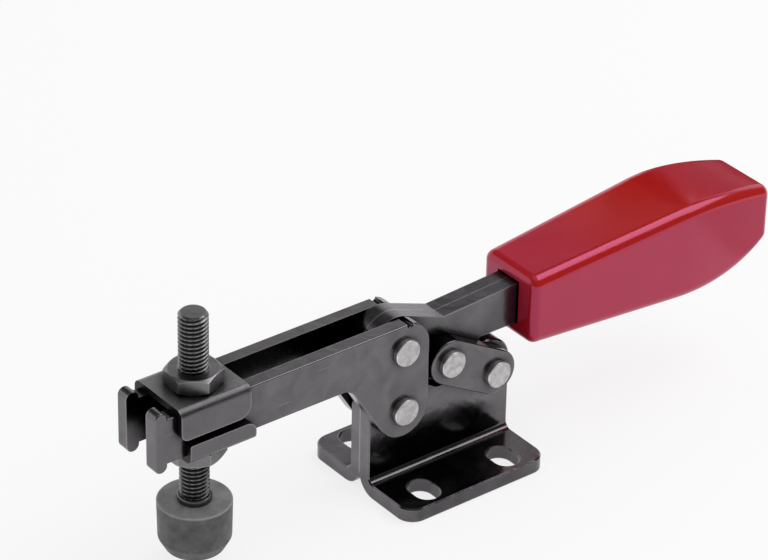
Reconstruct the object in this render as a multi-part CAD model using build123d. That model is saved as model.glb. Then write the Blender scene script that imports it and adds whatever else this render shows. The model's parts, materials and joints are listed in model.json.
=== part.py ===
"""Toggle clamp, horizontal handle on a horizontal base.  Millimetres, +X towards the grip, +Z up."""
import os
from math import atan2, cos, degrees, radians, sin, sqrt, tan

from build123d import *

# ---- sheet, gaps and fits -------------------------------------------------------------
PLATE = 5.0             # every lever and bracket is blanked from one sheet thickness
LAYER_GAP = 0.4         # side play between the inner pair of plates and the outer pair
PIN_FIT = 0.05          # radial play of a pin in its hole
BODY_GAP = 0.3          # least distance between curved faces of different bodies
EDGE = 0.5              # tumbled edge on the blanked plates

# ---- pivots, in the side plane (x, z) --------------------------------------------------
BASE_PIVOT_Z = 32.8     # arm pivot and link pivot above the mounting surface
ARM_CRANK = 22.85       # arm pivot to handle pivot
OVER_CENTRE = 0.2       # how far the knee pin sits below the dead line when closed
PIN_DIA = 9.6
PIN_PROUD = 2.0         # pin ends stand this far out of the plates
KNEE_SHANK_DIA = 7.0    # the knee pin is stepped down where it crosses the handle

# ---- base ------------------------------------------------------------------------------
BASE_LENGTH = 59.0
BASE_WIDTH = 54.2
BASE_LOBE_R = 10.0      # round top corners of the wall, centred on the two base pivots
BASE_CORNER = 6.0
BEND_INNER = 2.5
BOLT_SLOT_W = 9.5
BOLT_SLOT_L = 13.0
BOLT_END_MARGIN = 12.7  # end of the base to the middle of a bolt slot
BOLT_RIM = 2.0          # metal between a bolt slot and the long edge of the flange
LOBE_SLOPE = 34.0       # flanks of the valley between the two pivot lobes
VALLEY_RADIUS = 5.0

# ---- arm -------------------------------------------------------------------------------
ARM_FRONT_X = -118.3
LOBE_RISE = 0.55        # the pivot lobe stands this far above the top of the bar
ARM_HEIGHT = 16.55
ARM_FLANK = 58.0        # slope of the rear plate's front flank
ARM_FLANK_FILLET = 6.0
STOP_WIDTH = 4.7        # the upright stop at the free end of each bar
STOP_RISE = 2.8
RELIEF_R = 1.2          # small relief where the bar runs into the pivot lobe
RELIEF_BACK = 2.0       # how far behind the pivots it lies

# ---- handle ----------------------------------------------------------------------------
HEAD_R = 10.2
KNEE_LOBE_R = 8.7
HANDLE_DROP = 20.5      # slope of the shoulder from the head down to the kink
KINK_X = 0.8
TANG_RISE = 3.2         # upward slope of the tang's top edge
TANG_BOTTOM_Z = 45.3
TANG_HEEL_BACK = 3.0    # the tang's underside starts this far in front of the link pivot
HEEL_BEARING = 125.0    # where the stop heel comes down on the base lobe when closed, degrees
TANG_END_X = 112.0
RIVET_DIA = 5.0
RIVET_XS = (52.0, 92.0)

# ---- link ------------------------------------------------------------------------------
LINK_R = 8.1
LOBE_GAP = 1.1          # between the link's knee lobe and the arm's pivot lobes when closed
ARM_OPEN = 45.0         # full opening of the arm, degrees
SLOT_PLAY = 0.25        # room round the knee pin part of the way open
SLOT_STEPS = 10

# ---- handle grip -----------------------------------------------------------------------
GRIP_FRONT_X = 32.0
GRIP_REAR_X = 137.9
GRIP_BELLY_X = 95.0
GRIP_FRONT_HALF = 13.6
GRIP_BELLY_HALF = 16.2
GRIP_REAR_HALF = 13.3
GRIP_FRONT_BOTTOM = 39.5
GRIP_FRONT_TOP = 65.1
GRIP_BELLY_BOTTOM = 36.2
GRIP_BELLY_TOP = 70.9
GRIP_REAR_BOTTOM = 46.0
GRIP_REAR_TOP = 65.6
GRIP_EDGE = 4.0
GRIP_END_EDGE = 3.2
MOUTH_MARGIN = 0.6      # the mouth of the grip is this much larger than the tang
MOUTH_DEPTH = 4.0

# ---- spindle group ---------------------------------------------------------------------
SPINDLE_X = -96.2
THREAD_DIA = 9.9
THREAD_BORE_DIA = 10.05
SPINDLE_TOP_Z = 93.6
SPINDLE_CHAMFER = 0.9
SADDLE_SHEET = 2.3
SADDLE_SIDE_GAP = 0.2
SADDLE_BEND_INNER = 0.5
SADDLE_HOLE_DIA = 10.6
UPPER_SADDLE_FRONT = 13.7    # both measured from the spindle axis
UPPER_SADDLE_REAR = 13.2
UPPER_FLAP_DROP = 8.8        # from the top of the arm
LOWER_SADDLE_FRONT = 10.3
LOWER_SADDLE_REAR = 15.2
LOWER_FLAP_RISE = 5.0        # from the underside of the arm
UPPER_FRONT_CORNER = 2.8
UPPER_REAR_CORNER = 4.6
LOWER_FRONT_CORNER = 0.8
LOWER_REAR_CORNER = 3.6
NUT_TURN = 24.8              # how the corners of both nuts lie, degrees
UPPER_NUT_AF = 17.0
UPPER_NUT_H = 5.4
LOWER_NUT_AF = 18.4
LOWER_NUT_H = 5.7
CAP_TOP_Z = 23.2
CAP_HEIGHT = 18.2
CAP_TOP_DIA = 24.8
CAP_WAIST_DIA = 24.2
CAP_FOOT_DIA = 19.2
CAP_TAPER_H = 4.6
CAP_FOOT_EDGE = 1.6
COLLAR_DIA = 11.6
COLLAR_H = 2.4
ANCHOR_DIA = 15.0            # disc on the spindle's end, moulded into the cap
ANCHOR_H = 4.0
ANCHOR_DEPTH = 11.0

# ---- derived positions -----------------------------------------------------------------
INNER_FACE = PLATE + LAYER_GAP
OUTER_FACE = INNER_FACE + PLATE
PIN_HALF = OUTER_FACE + PIN_PROUD
BASE_PIVOT_X = BASE_LENGTH / 2 - BASE_LOBE_R    # arm pivot at -x, link pivot at +x
BOLT_PITCH_X = BASE_LENGTH - 2 * BOLT_END_MARGIN
BOLT_PITCH_Y = BASE_WIDTH - BOLT_SLOT_L - 2 * BOLT_RIM
ARM_PIVOT = Vector(-BASE_PIVOT_X, BASE_PIVOT_Z)
LINK_PIVOT = Vector(BASE_PIVOT_X, BASE_PIVOT_Z)
HANDLE_PIVOT = ARM_PIVOT + Vector(0, ARM_CRANK)


def knee_point():
    """The knee pin, just below the line from the handle pivot to the link pivot."""
    middle = (HANDLE_PIVOT + LINK_PIVOT) * 0.5
    line = (LINK_PIVOT - HANDLE_PIVOT).normalized()
    return middle - Vector(-line.Y, line.X) * OVER_CENTRE


KNEE = knee_point()
ARM_LOBE_R = KNEE.X - LINK_R - LOBE_GAP - ARM_PIVOT.X
ARM_TOP_Z = HANDLE_PIVOT.Y + ARM_LOBE_R - LOBE_RISE
ARM_BOTTOM_Z = ARM_TOP_Z - ARM_HEIGHT


def disc(centre, radius):
    """Round face centred on a pivot of the side plane."""
    return Pos(centre.X, centre.Y) * Circle(radius)


def plate(profile, y_min, y_max):
    """Side-plane profile given a thickness between two widths."""
    return extrude(Plane.XZ.offset(-y_max) * profile, amount=y_max - y_min)


def break_edges(solid, y_face, size=EDGE):
    """Round off the outline of one flat side of a plate."""
    face = solid.faces().filter_by(Axis.Y).sort_by(Axis.Y)
    chosen = face[-1] if y_face > 0 else face[0]
    return fillet(chosen.outer_wire().edges(), size)


def hull_of(centre_a, radius_a, centre_b, radius_b):
    """Two round lobes joined by their tangents."""
    span = (centre_b - centre_a).length
    lean = (radius_a - radius_b) / span
    cross = sqrt(1 - lean ** 2)
    along = (centre_b - centre_a).normalized()
    points = []
    for side in (1, -1):
        out = along * lean + Vector(-along.Y, along.X) * (cross * side)
        pair = [centre_a + out * radius_a, centre_b + out * radius_b]
        points += pair if side > 0 else pair[::-1]
    return polygon(points) + disc(centre_a, radius_a) + disc(centre_b, radius_b)


def polygon(points):
    """Filled face through points of the side plane."""
    corners = [(p.X, p.Y) if isinstance(p, Vector) else p for p in points]
    return make_face(Polyline(*corners, close=True))


def pivot_hole(centre, diameter=PIN_DIA):
    """Clearance hole for a pin."""
    return disc(centre, diameter / 2 + PIN_FIT)


def round_corner(face, corner, radius):
    """Fillet the one corner of a profile that lies nearest to a point."""
    vertex = face.vertices().sort_by_distance((corner.X, corner.Y, 0))[0]
    return fillet(vertex, radius)


def turn(point, centre, angle):
    """Point turned about a pivot, anticlockwise in the side plane."""
    a = radians(angle)
    d = point - centre
    return centre + Vector(d.X * cos(a) - d.Y * sin(a), d.X * sin(a) + d.Y * cos(a))


def bearing(start, end):
    """Direction from one pivot to another, degrees."""
    return degrees(atan2(end.Y - start.Y, end.X - start.X))


def open_angles():
    """Turns of the handle and of the link when the linkage closes up at the open arm."""
    pivot = turn(HANDLE_PIVOT, ARM_PIVOT, -ARM_OPEN)
    arm_reach = (KNEE - HANDLE_PIVOT).length
    span = (LINK_PIVOT - pivot).length
    rise = degrees(atan2(sqrt(arm_reach ** 2 - span ** 2 / 4), span / 2))
    knee = turn(pivot + (LINK_PIVOT - pivot) * (arm_reach / span), pivot, rise)
    handle = bearing(pivot, knee) - bearing(HANDLE_PIVOT, KNEE)
    return handle, bearing(LINK_PIVOT, KNEE) - bearing(LINK_PIVOT, knee)


HANDLE_OPEN, LINK_OPEN = open_angles()


def knee_offset(part):
    """Where the link carries the knee pin, seen from the handle, part of the way open."""
    pivot = turn(HANDLE_PIVOT, ARM_PIVOT, -ARM_OPEN * part)
    knee = turn(KNEE, LINK_PIVOT, -LINK_OPEN * part)
    return turn(knee, pivot, -HANDLE_OPEN * part) - pivot + HANDLE_PIVOT


# ---- base brackets ---------------------------------------------------------------------
def wall_profile():
    """Upright wall: two pivot lobes with a valley between them."""
    half = BASE_LENGTH / 2
    slope = radians(LOBE_SLOPE)
    left = ARM_PIVOT + Vector(sin(slope), cos(slope)) * BASE_LOBE_R
    right = LINK_PIVOT + Vector(-sin(slope), cos(slope)) * BASE_LOBE_R
    valley = Vector(0, left.Y + tan(slope) * left.X)
    body = polygon([(-half, 0), (half, 0), (half, BASE_PIVOT_Z), LINK_PIVOT, right, valley, left,
                    ARM_PIVOT, (-half, BASE_PIVOT_Z)])
    body = round_corner(body, valley, VALLEY_RADIUS)
    return body + disc(ARM_PIVOT, BASE_LOBE_R) + disc(LINK_PIVOT, BASE_LOBE_R)


def bracket(side):
    """One angle bracket: side -1 is the left hand, +1 the right hand."""
    half_w = BASE_WIDTH / 2
    flange = Pos(0, side * half_w / 2) * Rectangle(BASE_LENGTH, half_w)
    corners = flange.vertices().group_by(Axis.Y)[0 if side < 0 else -1]
    flange = fillet(corners, BASE_CORNER)
    for end in (-1, 1):
        slot = SlotOverall(BOLT_SLOT_L, BOLT_SLOT_W, rotation=90)
        flange -= Pos(end * BOLT_PITCH_X / 2, side * BOLT_PITCH_Y / 2) * slot
    floor = extrude(flange, amount=PLATE)
    profile = wall_profile() - pivot_hole(ARM_PIVOT) - pivot_hole(LINK_PIVOT)
    low, high = sorted((0, side * PLATE))
    shape = floor + plate(profile, low, high)
    inner = shape.edges().filter_by(Axis.X).sort_by_distance((0, side * PLATE, PLATE))[0]
    shape = fillet(inner, BEND_INNER)
    heel = shape.edges().filter_by(Axis.X).sort_by_distance((0, 0, 0))[0]
    shape = fillet(heel, BEND_INNER + PLATE - 0.05)
    rim = shape.faces().filter_by(Axis.Z).group_by(Axis.Z)[-1].sort_by(SortBy.AREA)[-1]
    return chamfer(rim.outer_wire().edges().filter_by(lambda e: e.center().Y * side > 2 * PLATE), EDGE)


# ---- arm -------------------------------------------------------------------------------
def arm_profile():
    """Bar with an upright stop in front and a two-pivot plate behind."""
    flank = radians(ARM_FLANK)
    touch = ARM_PIVOT + Vector(-sin(flank), -cos(flank)) * ARM_LOBE_R
    corner = Vector(touch.X - (ARM_BOTTOM_Z - touch.Y) / tan(flank), ARM_BOTTOM_Z)
    front = ARM_FRONT_X + STOP_WIDTH / 2
    body = polygon([(front, ARM_TOP_Z), (front, ARM_BOTTOM_Z), corner, touch, ARM_PIVOT, HANDLE_PIVOT,
                    (HANDLE_PIVOT.X, ARM_TOP_Z)])
    body = round_corner(body, corner, ARM_FLANK_FILLET)
    upright = SlotOverall(ARM_HEIGHT + 2 * STOP_RISE, STOP_WIDTH, rotation=90)
    body += Pos(front, (ARM_TOP_Z + ARM_BOTTOM_Z) / 2) * upright
    body += hull_of(ARM_PIVOT, ARM_LOBE_R, HANDLE_PIVOT, ARM_LOBE_R)
    trim = Rectangle(4 * ARM_LOBE_R, 2 * LOBE_RISE)
    relief_x = ARM_PIVOT.X + RELIEF_BACK
    body -= Pos(relief_x - 2 * ARM_LOBE_R, ARM_TOP_Z + LOBE_RISE) * trim
    return body - Pos(relief_x, ARM_TOP_Z) * Circle(RELIEF_R)


def arm_plate(side):
    """One arm plate."""
    low, high = sorted((side * INNER_FACE, side * OUTER_FACE))
    shape = plate(arm_profile() - pivot_hole(ARM_PIVOT) - pivot_hole(HANDLE_PIVOT), low, high)
    return break_edges(shape, side)


# ---- handle ----------------------------------------------------------------------------
def tang_top(x):
    """Height of the tang's top edge."""
    drop = radians(HANDLE_DROP)
    shoulder = HANDLE_PIVOT + Vector(sin(drop), cos(drop)) * HEAD_R
    kink_z = shoulder.Y - tan(drop) * (KINK_X - shoulder.X)
    return kink_z + tan(radians(TANG_RISE)) * (x - KINK_X)


def handle_profile():
    """Round head, knee lobe with a stop heel, and the tang that carries the grip."""
    drop = radians(HANDLE_DROP)
    shoulder = HANDLE_PIVOT + Vector(sin(drop), cos(drop)) * HEAD_R
    heel = LINK_PIVOT + Vector(cos(radians(HEEL_BEARING)), sin(radians(HEEL_BEARING))) * (BASE_LOBE_R + BODY_GAP)
    belly = KNEE + Vector(sin(radians(20)), -cos(radians(20))) * KNEE_LOBE_R
    tang = polygon([HANDLE_PIVOT, shoulder, (KINK_X, tang_top(KINK_X)), (TANG_END_X, tang_top(TANG_END_X)),
                    (TANG_END_X, TANG_BOTTOM_Z), (LINK_PIVOT.X - TANG_HEEL_BACK, TANG_BOTTOM_Z), heel, belly, KNEE])
    return tang + hull_of(HANDLE_PIVOT, HEAD_R, KNEE, KNEE_LOBE_R)


def knee_slot():
    """Slot that lets the knee pin wander while the joints turn in constant ratios."""
    snug = KNEE_SHANK_DIA / 2 + PIN_FIT
    roomy = KNEE_SHANK_DIA / 2 + SLOT_PLAY
    path = [knee_offset(step / SLOT_STEPS) for step in range(SLOT_STEPS)]
    shape = hull_of(path[0], snug, path[1], roomy)
    for start, end in zip(path[1:], path[2:] + [KNEE]):
        shape += hull_of(start, roomy, end, snug if end is KNEE else roomy)
    return shape


def handle_plate(side):
    """One of the two laminated handle plates."""
    profile = handle_profile() - pivot_hole(HANDLE_PIVOT) - knee_slot()
    for x in RIVET_XS:
        profile -= pivot_hole(Vector(x, (tang_top(x) + TANG_BOTTOM_Z) / 2), RIVET_DIA)
    low, high = sorted((0, side * PLATE))
    return plate(profile, low, high)


# ---- grip ------------------------------------------------------------------------------
def grip_side():
    """Side outline of the grip: straight flare, then curves in to the blunt end."""
    run = (GRIP_BELLY_X - GRIP_FRONT_X)
    low_slope = (GRIP_BELLY_BOTTOM - GRIP_FRONT_BOTTOM) / run
    top_slope = (GRIP_BELLY_TOP - GRIP_FRONT_TOP) / run
    front_low = (GRIP_FRONT_X, GRIP_FRONT_BOTTOM)
    front_top = (GRIP_FRONT_X, GRIP_FRONT_TOP)
    belly_low = (GRIP_BELLY_X, GRIP_BELLY_BOTTOM)
    belly_top = (GRIP_BELLY_X, GRIP_BELLY_TOP)
    rear_low = (GRIP_REAR_X, GRIP_REAR_BOTTOM)
    rear_top = (GRIP_REAR_X, GRIP_REAR_TOP)
    low_curve = Spline(belly_low, rear_low, tangents=[(1, low_slope), (1, 0.75)])
    top_curve = Spline(belly_top, rear_top, tangents=[(1, top_slope), (1, -0.28)])
    return make_face([Line(front_top, front_low), Line(front_low, belly_low), low_curve,
                      Line(rear_low, rear_top), top_curve, Line(belly_top, front_top)])


def grip_plan():
    """Plan outline of the grip, symmetrical about the middle plane."""
    slope = (GRIP_BELLY_HALF - GRIP_FRONT_HALF) / (GRIP_BELLY_X - GRIP_FRONT_X)
    parts = []
    for side in (-1, 1):
        front = (GRIP_FRONT_X, side * GRIP_FRONT_HALF)
        belly = (GRIP_BELLY_X, side * GRIP_BELLY_HALF)
        rear = (GRIP_REAR_X, side * GRIP_REAR_HALF)
        parts.append(Line(front, belly))
        parts.append(Spline(belly, rear, tangents=[(1, side * slope), (1, -side * 0.14)]))
    parts.append(Line((GRIP_FRONT_X, -GRIP_FRONT_HALF), (GRIP_FRONT_X, GRIP_FRONT_HALF)))
    parts.append(Line((GRIP_REAR_X, -GRIP_REAR_HALF), (GRIP_REAR_X, GRIP_REAR_HALF)))
    return make_face(parts)


def grip():
    """Moulded grip with a pocket for the tang."""
    wide = 2 * GRIP_BELLY_HALF
    body = plate(grip_side(), -wide, wide) & extrude(grip_plan(), amount=2 * GRIP_BELLY_TOP)
    rear = body.edges().filter_by(lambda e: e.center().X > GRIP_REAR_X - 0.01)
    front = body.edges().filter_by(lambda e: e.center().X < GRIP_FRONT_X + 0.01)
    long_edges = [e for e in body.edges() if e not in rear and e not in front]
    body = fillet(long_edges + list(rear), GRIP_EDGE)
    front = body.faces().sort_by(Axis.X)[0].outer_wire().edges()
    body = fillet(front, GRIP_END_EDGE)
    start = GRIP_FRONT_X - 1
    end = TANG_END_X + BODY_GAP
    pocket = polygon([(start, tang_top(start) + BODY_GAP), (end, tang_top(end) + BODY_GAP),
                      (end, TANG_BOTTOM_Z - BODY_GAP), (start, TANG_BOTTOM_Z - BODY_GAP)])
    body -= plate(pocket, -PLATE - BODY_GAP, PLATE + BODY_GAP)
    inside = GRIP_FRONT_X + MOUTH_DEPTH
    mouth = polygon([(start, tang_top(start) + MOUTH_MARGIN), (inside, tang_top(inside) + MOUTH_MARGIN),
                     (inside, TANG_BOTTOM_Z - MOUTH_MARGIN), (start, TANG_BOTTOM_Z - MOUTH_MARGIN)])
    return body - plate(mouth, -PLATE - MOUTH_MARGIN, PLATE + MOUTH_MARGIN)


# ---- link, pins and rivets -------------------------------------------------------------
def link_plate(side):
    """One link plate."""
    low, high = sorted((side * INNER_FACE, side * OUTER_FACE))
    profile = hull_of(KNEE, LINK_R, LINK_PIVOT, LINK_R) - pivot_hole(KNEE) - pivot_hole(LINK_PIVOT)
    return break_edges(plate(profile, low, high), side)


def pin(centre):
    """Plain pivot pin with lightly chamfered ends."""
    shape = plate(disc(centre, PIN_DIA / 2), -PIN_HALF, PIN_HALF)
    return chamfer(shape.edges().filter_by(GeomType.CIRCLE), 0.25)


def knee_pin():
    """Knee pin, stepped down between the link plates."""
    shape = pin(KNEE)
    ring = disc(KNEE, PIN_DIA) - disc(KNEE, KNEE_SHANK_DIA / 2)
    return shape - plate(ring, -INNER_FACE, INNER_FACE)


def rivet(x):
    """Flush rivet that holds the two handle plates together inside the grip."""
    return plate(disc(Vector(x, (tang_top(x) + TANG_BOTTOM_Z) / 2), RIVET_DIA / 2), -PLATE, PLATE)


# ---- spindle group ---------------------------------------------------------------------
def saddle(seat_z, lip_z, front, rear, radii):
    """Folded saddle: a flat seat across both bars with a lip down each side.

    radii: corner radii of the lips at their free edge, front then rear.
    """
    up = 1 if lip_z > seat_z else -1
    inner = OUTER_FACE + SADDLE_SIDE_GAP
    outer = inner + SADDLE_SHEET
    height = abs(lip_z - seat_z) + SADDLE_SHEET
    middle_z = (seat_z - up * SADDLE_SHEET + lip_z) / 2
    length = front + rear
    x_mid = SPINDLE_X + (rear - front) / 2
    shape = Pos(x_mid, 0, middle_z) * Box(length, 2 * outer, height)
    shape -= Pos(x_mid, 0, middle_z + up * SADDLE_SHEET) * Box(2 * length, 2 * inner, height)
    back_z = seat_z - up * SADDLE_SHEET
    folds = shape.edges().filter_by(Axis.X).filter_by(lambda e: abs(e.center().Z - back_z) < 0.01)
    shape = fillet(folds, SADDLE_BEND_INNER + SADDLE_SHEET)
    bends = shape.edges().filter_by(Axis.X).filter_by(lambda e: abs(e.center().Z - seat_z) < 0.01)
    shape = fillet(bends, SADDLE_BEND_INNER)
    for x, radius in ((x_mid - length / 2, radii[0]), (x_mid + length / 2, radii[1])):
        tips = shape.edges().filter_by(Axis.Y).filter_by(
            lambda e: abs(e.center().Z - lip_z) < 0.01 and abs(e.center().X - x) < 0.01)
        shape = fillet(tips, radius)
    return shape - Pos(SPINDLE_X, 0, middle_z) * Cylinder(SADDLE_HOLE_DIA / 2, 3 * height)


def nut(flats, height, base_z):
    """Hexagon nut with both faces chamfered, bored to clear the spindle."""
    corner = flats / sqrt(3)
    body = extrude(Rot(0, 0, NUT_TURN) * RegularPolygon(corner, 6), amount=height)
    dome = chamfer(Cylinder(corner, height, align=(Align.CENTER, Align.CENTER, Align.MIN)).edges()
                   .filter_by(GeomType.CIRCLE), 0.55 * (corner - flats / 2) * 1.2, corner - flats / 2 + 0.25)
    bore = Cylinder(THREAD_BORE_DIA / 2, 3 * height)
    return Pos(SPINDLE_X, 0, base_z) * ((body & dome) - bore)


def spindle():
    """Clamping spindle with its collar and the disc anchored in the cap."""
    r = THREAD_DIA / 2
    anchor_top = CAP_TOP_Z - ANCHOR_DEPTH + ANCHOR_H
    anchor_low = CAP_TOP_Z - ANCHOR_DEPTH
    collar_top = CAP_TOP_Z + COLLAR_H
    outline = Polyline((0, anchor_low), (ANCHOR_DIA / 2, anchor_low), (ANCHOR_DIA / 2, anchor_top),
                       (r, anchor_top), (r, CAP_TOP_Z), (COLLAR_DIA / 2, CAP_TOP_Z),
                       (COLLAR_DIA / 2, collar_top - 0.5), (COLLAR_DIA / 2 - 0.5, collar_top), (r, collar_top),
                       (r, SPINDLE_TOP_Z - SPINDLE_CHAMFER), (r - SPINDLE_CHAMFER, SPINDLE_TOP_Z),
                       (0, SPINDLE_TOP_Z), close=True)
    return Pos(SPINDLE_X, 0, 0) * revolve(Plane.XZ * make_face(outline), Axis.Z)


def rubber_cap():
    """Soft pressure cap moulded round the spindle's anchor disc."""
    foot = CAP_TOP_Z - CAP_HEIGHT
    fit = PIN_FIT
    r = THREAD_DIA / 2 + fit
    anchor_r = ANCHOR_DIA / 2 + fit
    anchor_low = CAP_TOP_Z - ANCHOR_DEPTH - fit
    anchor_top = CAP_TOP_Z - ANCHOR_DEPTH + ANCHOR_H + fit
    outline = Polyline((0, foot), (CAP_FOOT_DIA / 2, foot), (CAP_WAIST_DIA / 2, foot + CAP_TAPER_H),
                       (CAP_TOP_DIA / 2, CAP_TOP_Z), (r, CAP_TOP_Z), (r, anchor_top), (anchor_r, anchor_top),
                       (anchor_r, anchor_low), (0, anchor_low), close=True)
    face = make_face(outline)
    face = round_corner(face, Vector(CAP_FOOT_DIA / 2, foot), CAP_FOOT_EDGE)
    face = round_corner(face, Vector(CAP_WAIST_DIA / 2, foot + CAP_TAPER_H), CAP_FOOT_EDGE)
    face = round_corner(face, Vector(CAP_TOP_DIA / 2, CAP_TOP_Z), 0.4)
    return Pos(SPINDLE_X, 0, 0) * revolve(Plane.XZ * face, Axis.Z)


def build_all():
    """Every node of the assembly, by name."""
    return {
        "base_bracket_left": bracket(-1),
        "base_bracket_right": bracket(1),
        "arm_plate_left": arm_plate(-1),
        "arm_plate_right": arm_plate(1),
        "handle_plate_left": handle_plate(-1),
        "handle_plate_right": handle_plate(1),
        "link_plate_left": link_plate(-1),
        "link_plate_right": link_plate(1),
        "arm_pivot_pin": pin(ARM_PIVOT),
        "link_pivot_pin": pin(LINK_PIVOT),
        "handle_pivot_pin": pin(HANDLE_PIVOT),
        "knee_pin": knee_pin(),
        "grip": grip(),
        "tang_rivet_front": rivet(RIVET_XS[0]),
        "tang_rivet_rear": rivet(RIVET_XS[1]),
        "upper_saddle": saddle(ARM_TOP_Z, ARM_TOP_Z - UPPER_FLAP_DROP, UPPER_SADDLE_FRONT, UPPER_SADDLE_REAR,
                               (UPPER_FRONT_CORNER, UPPER_REAR_CORNER)),
        "lower_saddle": saddle(ARM_BOTTOM_Z, ARM_BOTTOM_Z + LOWER_FLAP_RISE, LOWER_SADDLE_FRONT,
                               LOWER_SADDLE_REAR, (LOWER_FRONT_CORNER, LOWER_REAR_CORNER)),
        "upper_nut": nut(UPPER_NUT_AF, UPPER_NUT_H, ARM_TOP_Z + SADDLE_SHEET),
        "lower_nut": nut(LOWER_NUT_AF, LOWER_NUT_H, ARM_BOTTOM_Z - SADDLE_SHEET - LOWER_NUT_H),
        "spindle": spindle(),
        "rubber_cap": rubber_cap(),
    }


os.makedirs("parts", exist_ok=True)
for node, solid in build_all().items():
    export_step(solid, f"parts/{node}.step")
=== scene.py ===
# %% [markdown]
# # A toggle clamp on a white table
# The clamp's shape comes from its CAD model, which loads here as a fixed frame.  This scene adds
# what the CAD leaves out: the cut thread on the spindle, the finishes of the steel, rubber and
# plastic, and the white surroundings that blackened steel needs, because a dark mirror shows only
# what it reflects.

# %% Load the clamp
import json
import math

import bpy
from mathutils import Matrix, Vector


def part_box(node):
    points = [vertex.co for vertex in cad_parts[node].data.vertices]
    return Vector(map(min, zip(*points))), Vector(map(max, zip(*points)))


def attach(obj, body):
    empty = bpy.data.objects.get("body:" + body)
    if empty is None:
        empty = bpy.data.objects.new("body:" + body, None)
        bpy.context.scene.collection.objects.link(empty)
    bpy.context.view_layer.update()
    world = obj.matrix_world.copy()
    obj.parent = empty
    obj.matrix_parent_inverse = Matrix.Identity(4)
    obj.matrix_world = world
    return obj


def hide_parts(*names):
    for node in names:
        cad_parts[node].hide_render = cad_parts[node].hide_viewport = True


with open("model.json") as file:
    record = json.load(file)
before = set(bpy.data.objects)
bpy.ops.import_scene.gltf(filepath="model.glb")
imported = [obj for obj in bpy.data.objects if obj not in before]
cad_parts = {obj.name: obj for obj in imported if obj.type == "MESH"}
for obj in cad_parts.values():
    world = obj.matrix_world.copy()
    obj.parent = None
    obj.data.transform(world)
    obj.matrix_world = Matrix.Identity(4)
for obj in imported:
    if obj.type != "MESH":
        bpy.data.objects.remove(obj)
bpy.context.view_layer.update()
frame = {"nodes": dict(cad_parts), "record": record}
nodes = frame["nodes"]

# %% [markdown]
# Blender's shaders work in linear light, while colours are usually read off as sRGB hex codes.
# One function converts them.  A second small function adds a shader node, sets its inputs and
# wires it up, so that each material below reads as a short recipe.  It takes a socket by its name,
# or by its number where several sockets of a node share one name, as those of a Mix node do.

# %% Colour and node helpers
VALUE_A, VALUE_B = 2, 3
COLOUR_A, COLOUR_B, COLOUR_OUT = 6, 7, 2


def linear(code):
    """Linear RGBA of an sRGB hex colour."""
    channels = [int(code[i:i + 2], 16) / 255 for i in (0, 2, 4)]
    return [c / 12.92 if c <= 0.04045 else ((c + 0.055) / 1.055) ** 2.4 for c in channels] + [1.0]


def add_node(tree, kind, inputs=None, **settings):
    """A shader node with its settings made and its inputs given a value or a link."""
    node = tree.nodes.new(kind)
    for key, value in settings.items():
        setattr(node, key, value)
    for key, value in (inputs or {}).items():
        if isinstance(value, bpy.types.NodeSocket):
            tree.links.new(value, node.inputs[key])
        else:
            node.inputs[key].default_value = value
    return node


def new_material(name):
    """An empty material: its tree and its output node."""
    material = bpy.data.materials.new(name)
    material.use_nodes = True
    material.node_tree.nodes.clear()
    output = add_node(material.node_tree, "ShaderNodeOutputMaterial")
    return material, material.node_tree, output


print("mid grey 646264 is", [round(c, 3) for c in linear("646264")[:3]], "in linear light")

# %% [markdown]
# The camera is a long lens well away from the clamp, so that parallel edges stay nearly parallel.
# It looks down at about 31 degrees over the clamping end, and it is rolled by just over one
# degree.  A rotation matrix is the plainest way to state such a view: its columns are the right
# and the up of the frame, and the direction back towards the lens.

# %% Camera
LENS_MM = 187.5
SENSOR_MM = 36.0
VIEW_RIGHT = Vector((0.79191644, -0.61037107, 0.01776226))
VIEW_UP = Vector((0.30434796, 0.41975527, 0.85508937))
LENS_PLACE = (-0.706186, -0.869875, 0.749119)
lens = bpy.data.cameras.new("long lens")
lens.sensor_width = SENSOR_MM
lens.lens = LENS_MM
lens.clip_end = 20.0
camera = bpy.data.objects.new("camera", lens)
view_back = VIEW_RIGHT.cross(VIEW_UP)
turned = Matrix((VIEW_RIGHT, VIEW_UP, view_back)).transposed().to_4x4()
camera.matrix_world = Matrix.Translation(LENS_PLACE) @ turned
bpy.context.scene.collection.objects.link(camera)
bpy.context.scene.camera = camera
bpy.context.scene.view_settings.view_transform = "Standard"
print("camera stands", round(camera.matrix_world.translation.length, 3), "m from the base")

# %% [markdown]
# Black steel shows its surroundings.  It turns grey where it mirrors the white table and the white
# sweep behind it, and black where it mirrors the unlit front of the room.  The world below is that
# room: mirrors see a white sweep at the back, a dim front and a grey ceiling, matt things are lit
# evenly from all sides, and the camera sees plain white.

# %% Surroundings
EVEN_LIGHT = 0.62
DIM_ROOM = 0.09
CEILING = 0.5
SWEEP_FRONT, SWEEP_BACK = -0.15, 0.55
SWEEP_BLUR = 0.12
world = bpy.data.worlds.new("white sweep")
bpy.context.scene.world = world
world.use_nodes = True
tree = world.node_tree
tree.nodes.clear()
direction = add_node(tree, "ShaderNodeTexCoord")
part_of = add_node(tree, "ShaderNodeSeparateXYZ", {0: direction.outputs["Generated"]})
sweep_top = add_node(tree, "ShaderNodeMapRange", {
    "Value": part_of.outputs["Y"], "From Min": -0.3, "From Max": 0.3,
    "To Min": SWEEP_FRONT, "To Max": SWEEP_BACK}, interpolation_type="SMOOTHSTEP")
above = add_node(tree, "ShaderNodeMath", {0: part_of.outputs["Z"], 1: sweep_top.outputs[0]},
                 operation="SUBTRACT")
room = add_node(tree, "ShaderNodeMapRange", {
    "Value": above.outputs[0], "From Min": -SWEEP_BLUR, "From Max": SWEEP_BLUR,
    "To Min": 1.0, "To Max": DIM_ROOM}, interpolation_type="SMOOTHSTEP")
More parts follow.
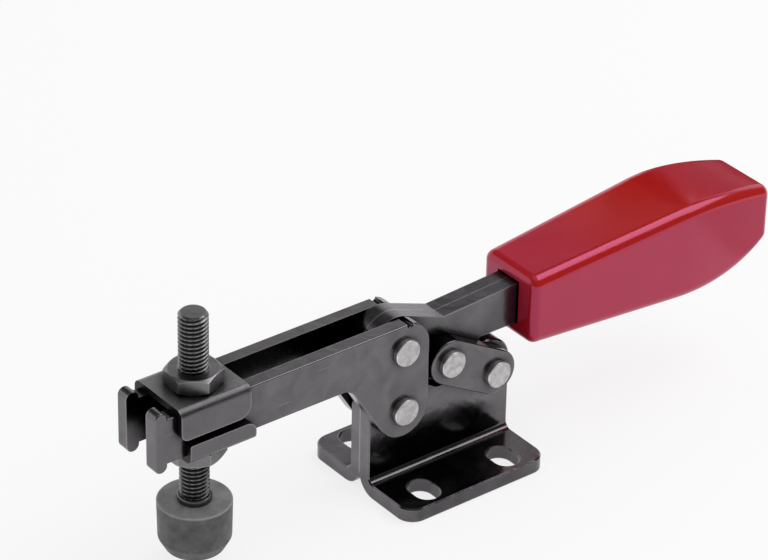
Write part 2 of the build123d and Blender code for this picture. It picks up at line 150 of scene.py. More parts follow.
ceiling = add_node(tree, "ShaderNodeMapRange", {
    "Value": part_of.outputs["Z"], "From Min": 0.75, "From Max": 0.95,
    "To Min": 0.0, "To Max": CEILING}, interpolation_type="SMOOTHSTEP")
around = add_node(tree, "ShaderNodeMath", {0: room.outputs[0], 1: ceiling.outputs[0]},
                  operation="MAXIMUM")
ray = add_node(tree, "ShaderNodeLightPath")
by_mirror = add_node(tree, "ShaderNodeMix", {
    0: ray.outputs["Is Glossy Ray"], VALUE_A: EVEN_LIGHT, VALUE_B: around.outputs[0]})
seen = add_node(tree, "ShaderNodeMath", {
    0: ray.outputs["Is Camera Ray"], 1: ray.outputs["Is Transmission Ray"]}, operation="MAXIMUM")
level = add_node(tree, "ShaderNodeMix", {
    0: seen.outputs[0], VALUE_A: by_mirror.outputs[0], VALUE_B: 1.0})
sky = add_node(tree, "ShaderNodeBackground", {
    "Color": linear("FFFFFF"), "Strength": level.outputs[0]})
world_output = add_node(tree, "ShaderNodeOutputWorld")
tree.links.new(sky.outputs[0], world_output.inputs["Surface"])
print("matt surfaces are lit at", EVEN_LIGHT, "and mirrors see", DIM_ROOM, "to 1.0")

# %% [markdown]
# One large softbox hangs in front on the right, well above the clamp.  Every rounded edge that
# faces up and forward mirrors it as a bright line, which is what makes black sheet and glossy
# plastic readable, and it draws the soft shadow on the table.

# %% Softbox
BOX_PLACE = Vector((0.64, -0.2, 0.96))
BOX_AIM = Vector((0.05, 0.0, 0.05))
box = bpy.data.lights.new("large softbox", "AREA")
box.shape = "RECTANGLE"
box.size = 0.9
box.size_y = 0.7
box.energy = 4.6
lamp = bpy.data.objects.new("large softbox", box)
lamp.location = BOX_PLACE
lamp.rotation_euler = (BOX_AIM - BOX_PLACE).to_track_quat("-Z", "Y").to_euler()
bpy.context.scene.collection.objects.link(lamp)
print("softbox is", box.size, "by", round(box.size_y, 2), "m")

# %% [markdown]
# Four cards round the grip are the usual remedy for milky plastic: it mirrors them instead of the
# white sweep or the table, and shows its own colour there.  Three stand behind the grip, and one
# lies on the table in front of its rear end.  They are hidden from everything but mirrors.


# %% Cards round the grip
def mirror_card(name, place, towards, size, code):
    """A flat matt card that only mirrors can see, square to a direction."""
    bpy.ops.mesh.primitive_plane_add(size=1.0, location=place)
    card = bpy.context.object
    card.name = name
    card.scale = (size[0], size[1], 1.0)
    card.rotation_euler = Vector(towards).to_track_quat("Z", "X").to_euler()
    card.visible_camera = False
    card.visible_diffuse = False
    card.visible_shadow = False
    felt, tree, output = new_material(name + " felt")
    matt = add_node(tree, "ShaderNodeBsdfDiffuse", {"Color": linear(code)})
    tree.links.new(matt.outputs[0], output.inputs["Surface"])
    card.data.materials.append(felt)
    return card


cards = [
    mirror_card("black_card", (0.214, 0.146, 0.180), (0.529, 0.672, 0.518), (0.05, 0.05),
                "0A0A0A"),
    mirror_card("grey_card", (0.272, 0.150, 0.150), (0.639, 0.672, 0.374), (0.085, 0.10),
                "8C8A8C"),
    mirror_card("low_card", (0.285, 0.135, 0.045), (0.720, 0.670, -0.080), (0.12, 0.16),
                "4A484A"),
    mirror_card("table_card", (0.257, -0.075, 0.004), (0.0, 0.0, 1.0), (0.16, 0.13), "DCDADC")]
print("cards:", [card.name for card in cards])

# %% [markdown]
# The clamp stands on a white table.  Its diffuse white keeps the soft shadow under the base
# flanges.  The camera and the mirrors see most of it as plain white, and all of it far away, so
# that the table runs into the background without a grey horizon.  It lies a hair below the
# flanges, because two faces in one plane would flicker.

# %% Table
TABLE_SIZE = 8.0
TABLE_DROP = 0.0002
PLAIN_WHITE = 0.78
PLAIN_FROM, PLAIN_BY = 0.35, 1.6
bpy.ops.mesh.primitive_plane_add(size=TABLE_SIZE, location=(0, 0, -TABLE_DROP))
floor = bpy.context.object
floor.name = "white_table"
table_paint, tree, output = new_material("matt white table")
ray = add_node(tree, "ShaderNodeLightPath")
seen = add_node(tree, "ShaderNodeMath", {
    0: ray.outputs["Is Camera Ray"], 1: ray.outputs["Is Glossy Ray"]}, operation="MAXIMUM")
place = add_node(tree, "ShaderNodeTexCoord")
distance = add_node(tree, "ShaderNodeVectorMath", {0: place.outputs["Object"]},
                    operation="LENGTH")
far = add_node(tree, "ShaderNodeMapRange", {
    "Value": distance.outputs["Value"], "From Min": PLAIN_FROM, "From Max": PLAIN_BY,
    "To Min": PLAIN_WHITE, "To Max": 1.0}, interpolation_type="SMOOTHSTEP")
share = add_node(tree, "ShaderNodeMath", {0: seen.outputs[0], 1: far.outputs[0]},
                 operation="MULTIPLY")
white = add_node(tree, "ShaderNodeBsdfDiffuse", {"Color": linear("FCFCFC")})
plain = add_node(tree, "ShaderNodeEmission", {"Color": linear("FFFFFF"), "Strength": 1.0})
mixed = add_node(tree, "ShaderNodeMixShader", {
    0: share.outputs[0], 1: white.outputs[0], 2: plain.outputs[0]})
tree.links.new(mixed.outputs[0], output.inputs["Surface"])
floor.data.materials.append(table_paint)
print("table is", floor.dimensions.x, "m wide")

# %% [markdown]
# The levers and brackets are blanked from cold-rolled sheet and then blackened.  Black oxide is a
# thin conversion layer that is oiled afterwards.  Handling polishes the layer off the edges, and
# the corners and recesses are darkened with painted shade.  Both are found with ambient occlusion:
# looking inwards it finds outer edges, and looking outwards it finds corners.  That works on any
# CAD mesh, without UVs.  A third mask takes the faces that look along one axis, from the surface
# normal.


# %% Masks for edges, corners and faces
def edge_mask(tree, reach):
    """1 on outer edges, 0 on flat faces: what an inward occlusion ray meets within reach."""
    inside = add_node(tree, "ShaderNodeAmbientOcclusion", {"Distance": reach}, inside=True,
                      only_local=True, samples=6)
    worn = add_node(tree, "ShaderNodeMapRange", {
        "Value": inside.outputs["AO"], "From Min": 0.5, "From Max": 0.93,
        "To Min": 1.0, "To Max": 0.0})
    return worn.outputs[0]


def painted_shade_mask(tree, reach, share, deep=0.35, shallow=0.8):
    """Painted shade: up to share deep in a corner or a recess, 0 in the open."""
    outside = add_node(tree, "ShaderNodeAmbientOcclusion", {"Distance": reach}, samples=6)
    hidden = add_node(tree, "ShaderNodeMapRange", {
        "Value": outside.outputs["AO"], "From Min": deep, "From Max": shallow,
        "To Min": share, "To Max": 0.0})
    return hidden.outputs[0]


def facing_mask(tree, place, axis, share):
    """share on faces that look along an axis of the piece, 0 on the others."""
    normal = add_node(tree, "ShaderNodeSeparateXYZ", {0: place.outputs["Normal"]})
    size = add_node(tree, "ShaderNodeMath", {0: normal.outputs[axis]}, operation="ABSOLUTE")
    square_on = add_node(tree, "ShaderNodeMapRange", {
        "Value": size.outputs[0], "From Min": 0.85, "From Max": 0.97,
        "To Min": 0.0, "To Max": share})
    return square_on.outputs[0]


print("masks for edges, corners and faces are ready")

# %% [markdown]
# Three patterns make up the sheet: faint lines from the rolls, smears where the oil has dried, and
# a few long scratches.  Each is noise at the size of the real thing.  Only the rolling lines are
# drawn coarser than they are, at half a millimetre, because the real ones are too fine to show.

# %% Patterns of the sheet
ROLLING_MM = 0.5
SMEAR_MM = 9.0
SCRATCH_MM = 0.6
SCRATCH_STRETCH = 25
SCRATCH_DEGREES = 24


def sheet_patterns(tree, place, stretch):
    """Rolling lines, smears and scratches; stretch is how much longer than wide a line is."""
    along = add_node(tree, "ShaderNodeMapping", {
        "Vector": place.outputs["Object"], "Scale": (1 / stretch, 1.0, 1.0)})
    lines = add_node(tree, "ShaderNodeTexNoise", {
        "Vector": along.outputs[0], "Scale": 1000 / ROLLING_MM, "Detail": 4.0, "Roughness": 0.6})
    smear = add_node(tree, "ShaderNodeTexNoise", {
        "Vector": place.outputs["Object"], "Scale": 1000 / SMEAR_MM, "Detail": 5.0,
        "Distortion": 0.8})
    slanted = add_node(tree, "ShaderNodeMapping", {
        "Vector": place.outputs["Object"], "Scale": (1 / SCRATCH_STRETCH, 1.0, 1.0),
        "Rotation": (0.0, math.radians(SCRATCH_DEGREES), 0.0)})
    streaks = add_node(tree, "ShaderNodeTexNoise", {
        "Vector": slanted.outputs[0], "Scale": 1000 / SCRATCH_MM, "Detail": 1.0})
    scratch = add_node(tree, "ShaderNodeMapRange", {
        "Value": streaks.outputs[0], "From Min": 0.71, "From Max": 0.77,
        "To Min": 0.0, "To Max": 0.16})
    return lines.outputs[0], smear.outputs[0], scratch.outputs[0]


print("rolling lines are", ROLLING_MM, "mm and smears", SMEAR_MM, "mm across")

# %% [markdown]
# Pale metal shows where the layer is gone: on the edges, in the scratches and faintly where a
# smear is thin.  The top of the saddles is painted pale as well, painted light on the faces that
# look up.
# Each is a share from 0 to 1, and the largest of them counts.


# %% Bared metal and painted light on the saddle tops
def bared_and_lit_share(tree, place, smear, scratch, edges, lit_top):
    """How much pale metal shows at a point: bared metal, and painted light on the tops."""
    thin = add_node(tree, "ShaderNodeMapRange", {
        "Value": smear, "From Min": 0.3, "From Max": 0.7, "To Min": 0.0, "To Max": 0.12})
    bright = add_node(tree, "ShaderNodeMath", {0: edges, 1: scratch}, operation="MAXIMUM")
    shown = add_node(tree, "ShaderNodeMath", {0: bright.outputs[0], 1: thin.outputs[0]},
                     operation="MAXIMUM")
    if not lit_top:
        return shown.outputs[0]
    # painted light: the faces that look up are painted pale
    top = facing_mask(tree, place, "Z", lit_top)
    with_top = add_node(tree, "ShaderNodeMath", {0: shown.outputs[0], 1: top},
                        operation="MAXIMUM")
    return with_top.outputs[0]


print("bared metal shows on edges, in scratches and on rubbed tops")

# %% [markdown]
# On the brackets the lower walls carry a ragged black film of painted dark reflection above the
# fold.  Height alone would rule a straight line, so the noise of the smears is taken off the
# height first.  The film thins towards the handle's end of the wall.  The flange's rims and bolt
# slots lie below the film, and get less painted shade than other corners do.

# %% Painted dark reflection on the bracket walls
SHEET = 0.005
FILM_FULL, FILM_GONE = 0.0165, 0.0205
FILM_RAGGED = 0.02
FILM_THINS, FILM_THIN, THIN_SHARE = 0.016, 0.026, 0.15
RIM_SHADE = 0.55


def painted_wall_reflection(tree, place, smear, share, shaded):
    """Painted shade in the corners, and painted dark reflection on the lower bracket walls."""
    spot = add_node(tree, "ShaderNodeSeparateXYZ", {0: place.outputs["Object"]})
    ragged = add_node(tree, "ShaderNodeMath", {
        0: smear, 1: -FILM_RAGGED, 2: spot.outputs["Z"]}, operation="MULTIPLY_ADD")
    film = add_node(tree, "ShaderNodeMapRange", {
        "Value": ragged.outputs[0], "From Min": FILM_FULL - FILM_RAGGED / 2,
        "From Max": FILM_GONE - FILM_RAGGED / 2, "To Min": share, "To Max": 0.0})
    thinning = add_node(tree, "ShaderNodeMapRange", {
        "Value": spot.outputs["X"], "From Min": FILM_THINS, "From Max": FILM_THIN,
        "To Min": 1.0, "To Max": THIN_SHARE})
    thinned = add_node(tree, "ShaderNodeMath", {0: film.outputs[0], 1: thinning.outputs[0]},
                       operation="MULTIPLY")
    on_wall = add_node(tree, "ShaderNodeMath", {
        0: thinned.outputs[0], 1: facing_mask(tree, place, "Y", 1.0)}, operation="MULTIPLY")
    darkened = add_node(tree, "ShaderNodeMath", {0: shaded, 1: on_wall.outputs[0]}, operation="MAXIMUM")
    above_rim = add_node(tree, "ShaderNodeMapRange", {
        "Value": spot.outputs["Z"], "From Min": SHEET - 0.0005, "From Max": SHEET - 0.0001,
        "To Min": RIM_SHADE, "To Max": 1.0})
    dark_walls = add_node(tree, "ShaderNodeMath", {0: darkened.outputs[0], 1: above_rim.outputs[0]},
                       operation="MULTIPLY")
    return dark_walls.outputs[0]


# The film printed here is the painted dark reflection on the bracket walls.
print("the oil film ends between", FILM_FULL * 1000, "and", FILM_GONE * 1000, "mm up")

# %% [markdown]
# Under its layer of oxide the sheet still behaves as a metal, a dark mirror, so it needs only a
# colour and a roughness, and no specular setting.  The smears vary the roughness, worn edges are
# rougher, and the slow dents of blanking bend the reflections a little.  Last comes painted shade:
# a narrow dark line in every corner, a wide dark area in recesses, and dark end faces on the
# saddles.

# %% Blackened steel
EDGE_REACH = 0.0007
CORNER_REACH = 0.0014
EDGE_ROUGHNESS = 0.4
# painted shade: the black laid into corners, recesses, the saddles' end faces and the bracket
# walls
SHADE_BLACK = "1C1B1C"


def blackened_steel(name, colour, worn, roughness, stretch, edge_share, shade_share,
                    recess=(0.45, 0.86), reach=0.016, dark_walls=False, shaded_ends=0.0,
                    lit_top=0.0):
    """Dark metal with rolling lines, oil smears, polished edges and painted shade in the corners.
    """
    material, tree, output = new_material(name)
    place = add_node(tree, "ShaderNodeTexCoord")
    lines, smear, scratch = sheet_patterns(tree, place, stretch)
    edges = add_node(tree, "ShaderNodeMath", {0: edge_mask(tree, EDGE_REACH), 1: edge_share},
                     operation="MULTIPLY")
    shown = bared_and_lit_share(tree, place, smear, scratch, edges.outputs[0], lit_top)
    open_face = add_node(tree, "ShaderNodeMix", {
        0: shown, COLOUR_A: linear(colour), COLOUR_B: linear(worn)}, data_type="RGBA")
    # painted shade: a narrow dark line in every corner and a wide dark area in recesses
    corners = add_node(tree, "ShaderNodeMath", {
        0: painted_shade_mask(tree, CORNER_REACH, shade_share, 0.5, 0.92),
        1: painted_shade_mask(tree, reach, shade_share, *recess)}, operation="MAXIMUM")
    shaded = corners.outputs[0]
    # painted dark reflection on the lower walls of the brackets
    if dark_walls:
        shaded = painted_wall_reflection(tree, place, smear, shade_share, shaded)
    # painted shade: the end faces of the saddles are laid dark
    if shaded_ends:
        ends = facing_mask(tree, place, "X", shaded_ends)
        with_ends = add_node(tree, "ShaderNodeMath", {0: shaded, 1: ends}, operation="MAXIMUM")
        shaded = with_ends.outputs[0]
    base = add_node(tree, "ShaderNodeMix", {
        0: shaded, COLOUR_A: open_face.outputs[COLOUR_OUT],
        COLOUR_B: linear(SHADE_BLACK)}, data_type="RGBA")
    satin = add_node(tree, "ShaderNodeMapRange", {
        "Value": smear, "From Min": 0.35, "From Max": 0.65,
        "To Min": roughness - 0.04, "To Max": roughness + 0.06})
    soft_edge = add_node(tree, "ShaderNodeMix", {
        0: edges.outputs[0], VALUE_A: satin.outputs[0], VALUE_B: EDGE_ROUGHNESS})
    dents = add_node(tree, "ShaderNodeBump", {
        "Height": smear, "Strength": 0.3, "Distance": 0.0003})
    relief = add_node(tree, "ShaderNodeBump", {
        "Height": lines, "Strength": 0.1, "Distance": 0.00002, "Normal": dents.outputs[0]})
    surface = add_node(tree, "ShaderNodeBsdfPrincipled", {
        "Base Color": base.outputs[COLOUR_OUT], "Metallic": 1.0,
        "Roughness": soft_edge.outputs[0], "Normal": relief.outputs[0]})
    tree.links.new(surface.outputs[0], output.inputs["Surface"])
    return material


print("worn edges are", EDGE_REACH * 1000, "mm wide")

# %% [markdown]
# Five finishes come from that one recipe.  The brackets carry painted dark reflection on their
# walls and are the sharpest mirror, while the saddles were pressed, which left them satin.  The
# nuts and the spindle are turned from bar, without rolling lines, and the thread's grooves carry
# painted shade.

# %% Black finishes
# the brackets: painted shade in the corners and painted dark reflection on the lower walls
bracket_black = blackened_steel(
    "black-oxide sheet with painted shade", "696669", "C4C2C4", roughness=0.15, stretch=8.0,
    edge_share=0.5, shade_share=0.92, dark_walls=True)
lever_black = blackened_steel(
    "black-oxide sheet steel", "625F62", "C4C2C4", roughness=0.19, stretch=8.0,
    edge_share=0.5, shade_share=0.9, recess=(0.58, 0.92))
# the saddles: painted shade on their end faces and painted light on their tops
clamp_black = blackened_steel(
    "satin black-oxide sheet", "666366", "C4C2C4", roughness=0.42, stretch=8.0,
    edge_share=0.45, shade_share=0.95, recess=(0.6, 0.93), reach=0.008, shaded_ends=0.85,
    lit_top=0.38)
nut_black = blackened_steel(
    "black-oxide machined steel", "757375", "D0CED0", roughness=0.32, stretch=1.0,
    edge_share=0.6, shade_share=0.1)
# painted shade: the thread's grooves are darkened
thread_black = blackened_steel(
    "black-oxide thread with painted shade", "6A686A", "C4C2C4", roughness=0.22, stretch=1.0,
    edge_share=0.45, shade_share=0.6)
print("made", [m.name for m in bpy.data.materials if "black-oxide" in m.name])

# %% [markdown]
# The pivot pins are steel rod, and riveting has hammered their ends flat: the faces are a mottled
# grey, while the turned sides are painted paler, painted light that makes up for the dark plates
# they mirror.  The face of a pin looks along Y, so the surface normal tells the two apart, and a
# narrow painted shadow stands where a pin leaves its plate.

# %% Riveted pins
HAMMER_MM = 2.2
PIN_CORNER_REACH = 0.0006
pin_steel, tree, output = new_material("riveted steel with bared ends")
place = add_node(tree, "ShaderNodeTexCoord")
facing = add_node(tree, "ShaderNodeNewGeometry")
face_y = add_node(tree, "ShaderNodeSeparateXYZ", {0: facing.outputs["True Normal"]})
flatness = add_node(tree, "ShaderNodeMath", {0: face_y.outputs["Y"]}, operation="ABSOLUTE")
bared = add_node(tree, "ShaderNodeMapRange", {
    "Value": flatness.outputs[0], "From Min": 0.8, "From Max": 0.95})
dents = add_node(tree, "ShaderNodeTexNoise", {
    "Vector": place.outputs["Object"], "Scale": 1000 / HAMMER_MM, "Detail": 6.0,
    "Roughness": 0.65})
mottle = add_node(tree, "ShaderNodeMapRange", {
    "Value": dents.outputs[0], "From Min": 0.38, "From Max": 0.62})
face_tone = add_node(tree, "ShaderNodeMix", {
    0: mottle.outputs[0], COLOUR_A: linear("B0ADAF"),
    COLOUR_B: linear("CCC9CB")}, data_type="RGBA")
# painted light: the pin's sides are painted near white
painted_side_tone = add_node(tree, "ShaderNodeMix", {
    0: mottle.outputs[0], COLOUR_A: linear("D4D2D4"),
    COLOUR_B: linear("F0EEF0")}, data_type="RGBA")
pin_tone = add_node(tree, "ShaderNodeMix", {
    0: bared.outputs[0], COLOUR_A: painted_side_tone.outputs[COLOUR_OUT],
    COLOUR_B: face_tone.outputs[COLOUR_OUT]}, data_type="RGBA")
# painted shadow: a narrow dark line where a pin leaves its plate
base = add_node(tree, "ShaderNodeMix", {
    0: painted_shade_mask(tree, PIN_CORNER_REACH, 0.9), COLOUR_A: pin_tone.outputs[COLOUR_OUT],
    COLOUR_B: linear(SHADE_BLACK)}, data_type="RGBA")
relief = add_node(tree, "ShaderNodeBump", {
    "Height": dents.outputs[0], "Strength": 0.3, "Distance": 0.00006})
surface = add_node(tree, "ShaderNodeBsdfPrincipled", {
    "Base Color": base.outputs[COLOUR_OUT], "Metallic": 1.0, "Roughness": 0.4,
    "Normal": relief.outputs[0]})
tree.links.new(surface.outputs[0], output.inputs["Surface"])
print("made", pin_steel.name)

# %% [markdown]
# The grip is moulded in glossy crimson plastic.  On top it is painted a warmer orange-red, a
# painted
# dim reflection: the pigment as it looks where the skin mirrors the dim room.  The patch is a
# matter
# of place and of slope: near the middle of the grip on faces that look up, and all along its
# rounded shoulders.  The two masks below find those.  They use the piece's own coordinates and
# normals, so the painted places stay put when the handle swings.

# %% Places of the grip painted orange-red, a painted dim reflection
PATCH_X = 0.083
PATCH_FULL, PATCH_GONE = 0.008, 0.036
grip_red, tree, output = new_material("glossy red moulded plastic")
place = add_node(tree, "ShaderNodeTexCoord")
face_z = add_node(tree, "ShaderNodeSeparateXYZ", {0: place.outputs["Normal"]})
length_on = add_node(tree, "ShaderNodeSeparateXYZ", {0: place.outputs["Object"]})
from_patch = add_node(tree, "ShaderNodeMath", {0: length_on.outputs["X"], 1: PATCH_X},
                     operation="SUBTRACT")
off_centre = add_node(tree, "ShaderNodeMath", {0: from_patch.outputs[0]}, operation="ABSOLUTE")
near_patch = add_node(tree, "ShaderNodeMapRange", {
    "Value": off_centre.outputs[0], "From Min": PATCH_FULL, "From Max": PATCH_GONE,
    "To Min": 1.0, "To Max": 0.15}, interpolation_type="SMOOTHSTEP")
painted_top_mask = add_node(tree, "ShaderNodeMapRange", {
    "Value": face_z.outputs["Z"], "From Min": 0.5, "From Max": 0.95})
crown = add_node(tree, "ShaderNodeMath", {0: near_patch.outputs[0], 1: painted_top_mask.outputs[0]},
                 operation="MULTIPLY")
shoulder_up = add_node(tree, "ShaderNodeMapRange", {
    "Value": face_z.outputs["Z"], "From Min": 0.05, "From Max": 0.35})
shoulder_down = add_node(tree, "ShaderNodeMapRange", {
    "Value": face_z.outputs["Z"], "From Min": 0.8, "From Max": 0.99,
    "To Min": 1.0, "To Max": 0.0})
shoulder = add_node(tree, "ShaderNodeMath", {
    0: shoulder_up.outputs[0], 1: shoulder_down.outputs[0]}, operation="MULTIPLY")
painted_light = add_node(tree, "ShaderNodeMath", {0: crown.outputs[0], 1: shoulder.outputs[0]},
                  operation="MAXIMUM")
# The palm position printed here is the centre of the painted orange-red patch.
print("the palm rests", round(PATCH_X * 1000), "mm from the middle of the base")

# %% [markdown]
# The grip's skin mirrors light with a strong pink tint and more of it than bare plastic would, as
# a lacquered moulding does: faces that mirror the white table look crimson, and faces that mirror
# the dim room show the orange-red pigment.  A tinted specular gives that, with an IOR raised from
# the 1.5 of plastic.  A faint, slow waviness is what moulding leaves in a long flat face, and it
# bends the highlights a little.

# %% Red plastic
WAVE_MM = 14.0
FLECK_MM = 0.7
SKIN_IOR = 1.95
PINK_SHINE = (1.0, 0.36, 0.68, 1.0)
waves = add_node(tree, "ShaderNodeTexNoise", {
    "Vector": place.outputs["Object"], "Scale": 1000 / WAVE_MM, "Detail": 2.0})
flecks = add_node(tree, "ShaderNodeTexNoise", {
    "Vector": place.outputs["Object"], "Scale": 1000 / FLECK_MM, "Detail": 3.0})
side_red = add_node(tree, "ShaderNodeMix", {
    0: waves.outputs[0], COLOUR_A: linear("B2182C"),
    COLOUR_B: linear("A81628")}, data_type="RGBA")
dim_reflection_red = add_node(tree, "ShaderNodeMix", {
    0: waves.outputs[0], COLOUR_A: linear("B81A08"),
    COLOUR_B: linear("AE1808")}, data_type="RGBA")
# painted dim reflection: orange-red on the up-facing middle and along the shoulders, crimson
# elsewhere
pigment = add_node(tree, "ShaderNodeMix", {
    0: painted_light.outputs[0], COLOUR_A: side_red.outputs[COLOUR_OUT],
    COLOUR_B: dim_reflection_red.outputs[COLOUR_OUT]}, data_type="RGBA")
shine = add_node(tree, "ShaderNodeMapRange", {
    "Value": flecks.outputs[0], "From Min": 0.3, "From Max": 0.7,
    "To Min": 0.13, "To Max": 0.2})
slow = add_node(tree, "ShaderNodeBump", {
    "Height": waves.outputs[0], "Strength": 0.25, "Distance": 0.0004})
skin = add_node(tree, "ShaderNodeBump", {
    "Height": flecks.outputs[0], "Strength": 0.05, "Distance": 0.00002,
    "Normal": slow.outputs[0]})
surface = add_node(tree, "ShaderNodeBsdfPrincipled", {
    "Base Color": pigment.outputs[COLOUR_OUT], "Roughness": shine.outputs[0], "IOR": SKIN_IOR,
    "Specular Tint": PINK_SHINE, "Normal": skin.outputs[0]})
tree.links.new(surface.outputs[0], output.inputs["Surface"])
print("made", grip_red.name)

# %% [markdown]
# The pressure cap is black rubber.  Rubber has a broad sheen and no mirror image; it picks up pale
# dust in patches.  Its top is painted paler and its sides darker, painted light from above, and
# its moulded rim carries a thin painted highlight.  Its pores are drawn a few times too coarse,
# because real ones are too fine to show.

# %% Black rubber
DUST_MM = 5.0
PORE_MM = 0.35
RIM_REACH = 0.0006
cap_rubber, tree, output = new_material("dusty black rubber with painted light")
place = add_node(tree, "ShaderNodeTexCoord")
face_z = add_node(tree, "ShaderNodeSeparateXYZ", {0: place.outputs["Normal"]})
patches = add_node(tree, "ShaderNodeTexNoise", {
    "Vector": place.outputs["Object"], "Scale": 1000 / DUST_MM, "Detail": 6.0,
    "Roughness": 0.6})
pores = add_node(tree, "ShaderNodeTexNoise", {
    "Vector": place.outputs["Object"], "Scale": 1000 / PORE_MM, "Detail": 2.0})
dust = add_node(tree, "ShaderNodeMapRange", {
    "Value": patches.outputs[0], "From Min": 0.38, "From Max": 0.62,
    "To Min": 0.1, "To Max": 0.6})
# painted light and shade: the sides get the darker tones and the top the paler ones below
painted_side_tone = add_node(tree, "ShaderNodeMix", {
    0: dust.outputs[0], COLOUR_A: linear("3E3C3E"),
    COLOUR_B: linear("6C6A6C")}, data_type="RGBA")
lit_top_tone = add_node(tree, "ShaderNodeMix", {
    0: dust.outputs[0], COLOUR_A: linear("8C8A8C"),
    COLOUR_B: linear("B8B6B8")}, data_type="RGBA")
painted_top_mask = add_node(tree, "ShaderNodeMapRange", {
    "Value": face_z.outputs["Z"], "From Min": 0.4, "From Max": 0.95,
    "To Min": 0.0, "To Max": 0.7})
rubber_tone = add_node(tree, "ShaderNodeMix", {
    0: painted_top_mask.outputs[0], COLOUR_A: painted_side_tone.outputs[COLOUR_OUT],
    COLOUR_B: lit_top_tone.outputs[COLOUR_OUT]}, data_type="RGBA")
# painted highlight: a thin near-white line on the cap's rim
base = add_node(tree, "ShaderNodeMix", {
    0: edge_mask(tree, RIM_REACH), COLOUR_A: rubber_tone.outputs[COLOUR_OUT],
    COLOUR_B: linear("E4E2E4")}, data_type="RGBA")
relief = add_node(tree, "ShaderNodeBump", {
    "Height": pores.outputs[0], "Strength": 0.2, "Distance": 0.00004})
surface = add_node(tree, "ShaderNodeBsdfPrincipled", {
    "Base Color": base.outputs[COLOUR_OUT], "Roughness": 0.5, "IOR": 1.5,
    "Normal": relief.outputs[0]})
tree.links.new(surface.outputs[0], output.inputs["Surface"])
print("made", cap_rubber.name)

# %% [markdown]
# Every CAD piece names a material slot in its record.  Looking the finish up by that slot keeps
# the scene right even when pieces are added.  Three finishes differ from the rest of their slot:
# those of the brackets, the saddles and the spindle.

# %% Paint the pieces
FINISHES = {"blackened_sheet_steel": lever_black, "blackened_screw_steel": nut_black,
            "bright_pin_steel": pin_steel, "red_plastic": grip_red, "black_rubber": cap_rubber}
SPECIAL = {"base_bracket_left": bracket_black, "base_bracket_right": bracket_black,
           "upper_saddle": clamp_black, "lower_saddle": clamp_black, "spindle": thread_black}
for part in frame["record"]["subparts"]:
    mesh = nodes[part["node"]].data
    mesh.materials.clear()
    mesh.materials.append(SPECIAL.get(part["node"], FINISHES[part["material_slot"]]))

# %% [markdown]
# In CAD the spindle is a plain rod.  The real one carries a rolled M10 thread.  A thread can be
# drawn as a bump, but its outline would stay straight, so here it is real geometry.  The whole
# spindle is one turned piece: a stack of rings whose radius depends on the height and, in the
# thread, on the angle too.  Going once round, the groove climbs by one pitch, which gives a true
# helix.  First come the sizes and the thread's profile.

# %% Thread profile
PITCH = 0.0015
CREST_R = 0.00495
THREAD_DEPTH = 0.00092
CREST_FLAT = 0.16
FLANK_SPAN = 0.6
END_CHAMFER = 0.0009
COLLAR_HEIGHT = 0.0024
spindle_low, spindle_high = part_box("spindle")
cap_low, cap_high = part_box("rubber_cap")
axis_x = (spindle_low.x + spindle_high.x) / 2
thread_start = cap_high.z + COLLAR_HEIGHT


def thread_radius(z, turn):
    """Radius of the thread at a height and a part of a turn, flat on its crest and root."""
    phase = (z / PITCH - turn) % 1.0
    flank = abs(phase - 0.5) * 2
    depth = min(max((flank - CREST_FLAT) / FLANK_SPAN, 0.0), 1.0)
    to_end = spindle_high.z - z
    return min(CREST_R - THREAD_DEPTH * depth, CREST_R - END_CHAMFER + to_end)


print("thread has", round((spindle_high.z - thread_start) / PITCH, 1), "turns")

# %% [markdown]
# Below the thread the spindle has a collar that rests on the cap, and a disc inside the cap that
# anchors it.  The rings of those are the same all the way round.

# %% Spindle shape
ROUND_STEPS = 96
RING_STEP = PITCH / 14
ANCHOR_R = 0.0075
ANCHOR_HEIGHT = 0.004
ANCHOR_CHAMFER = 0.0004
SHANK_R = 0.0046
COLLAR_R = 0.0058
COLLAR_ROUND = 0.0005
ROUND_DEGREES = 15


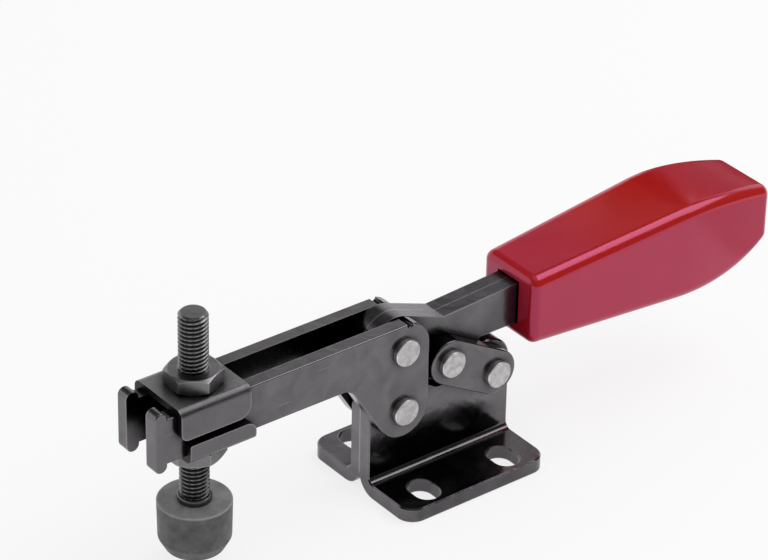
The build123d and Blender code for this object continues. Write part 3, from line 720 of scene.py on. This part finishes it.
def turned_rings():
    """Every ring from the bottom up, as a height and a radius for each step round."""
    low, anchor_top = spindle_low.z, spindle_low.z + ANCHOR_HEIGHT
    plain = [(low, ANCHOR_R - ANCHOR_CHAMFER), (low + ANCHOR_CHAMFER, ANCHOR_R),
             (anchor_top - ANCHOR_CHAMFER, ANCHOR_R), (anchor_top, ANCHOR_R - ANCHOR_CHAMFER),
             (anchor_top, SHANK_R), (cap_high.z, SHANK_R),
             (cap_high.z, COLLAR_R - COLLAR_ROUND)]
    for centre_z, start in ((cap_high.z + COLLAR_ROUND, -90), (thread_start - COLLAR_ROUND, 0)):
        for k in range(1, 7):
            angle = math.radians(start + ROUND_DEGREES * k)
            plain.append((centre_z + COLLAR_ROUND * math.sin(angle),
                          COLLAR_R - COLLAR_ROUND + COLLAR_ROUND * math.cos(angle)))
    rings = [(z, [r] * ROUND_STEPS) for z, r in plain]
    count = round((spindle_high.z - thread_start) / RING_STEP)
    for i in range(count + 1):
        z = thread_start + (spindle_high.z - thread_start) * i / count
        rings.append((z, [thread_radius(z, k / ROUND_STEPS) for k in range(ROUND_STEPS)]))
    return rings


def turned_piece(name, rings):
    """A closed mesh through the rings, with flat faces at both ends."""
    verts, faces = [], []
    for z, radii in rings:
        for k, r in enumerate(radii):
            angle = math.tau * k / ROUND_STEPS
            verts.append((axis_x + r * math.cos(angle), r * math.sin(angle), z))
    for i in range(len(rings) - 1):
        for k in range(ROUND_STEPS):
            a, b = i * ROUND_STEPS + k, i * ROUND_STEPS + (k + 1) % ROUND_STEPS
            faces.append((a, b, b + ROUND_STEPS, a + ROUND_STEPS))
    last = (len(rings) - 1) * ROUND_STEPS
    faces.append(tuple(reversed(range(ROUND_STEPS))))
    faces.append(tuple(range(last, last + ROUND_STEPS)))
    mesh = bpy.data.meshes.new(name)
    mesh.from_pydata(verts, [], faces)
    mesh.shade_smooth()
    mesh.set_sharp_from_angle(angle=math.radians(40))
    piece = bpy.data.objects.new(name, mesh)
    bpy.context.scene.collection.objects.link(piece)
    return piece


spindle = turned_piece("threaded_spindle", turned_rings())
spindle.data.materials.append(thread_black)
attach(spindle, "spindle")
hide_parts("spindle")
print("spindle has", len(spindle.data.vertices), "corners")
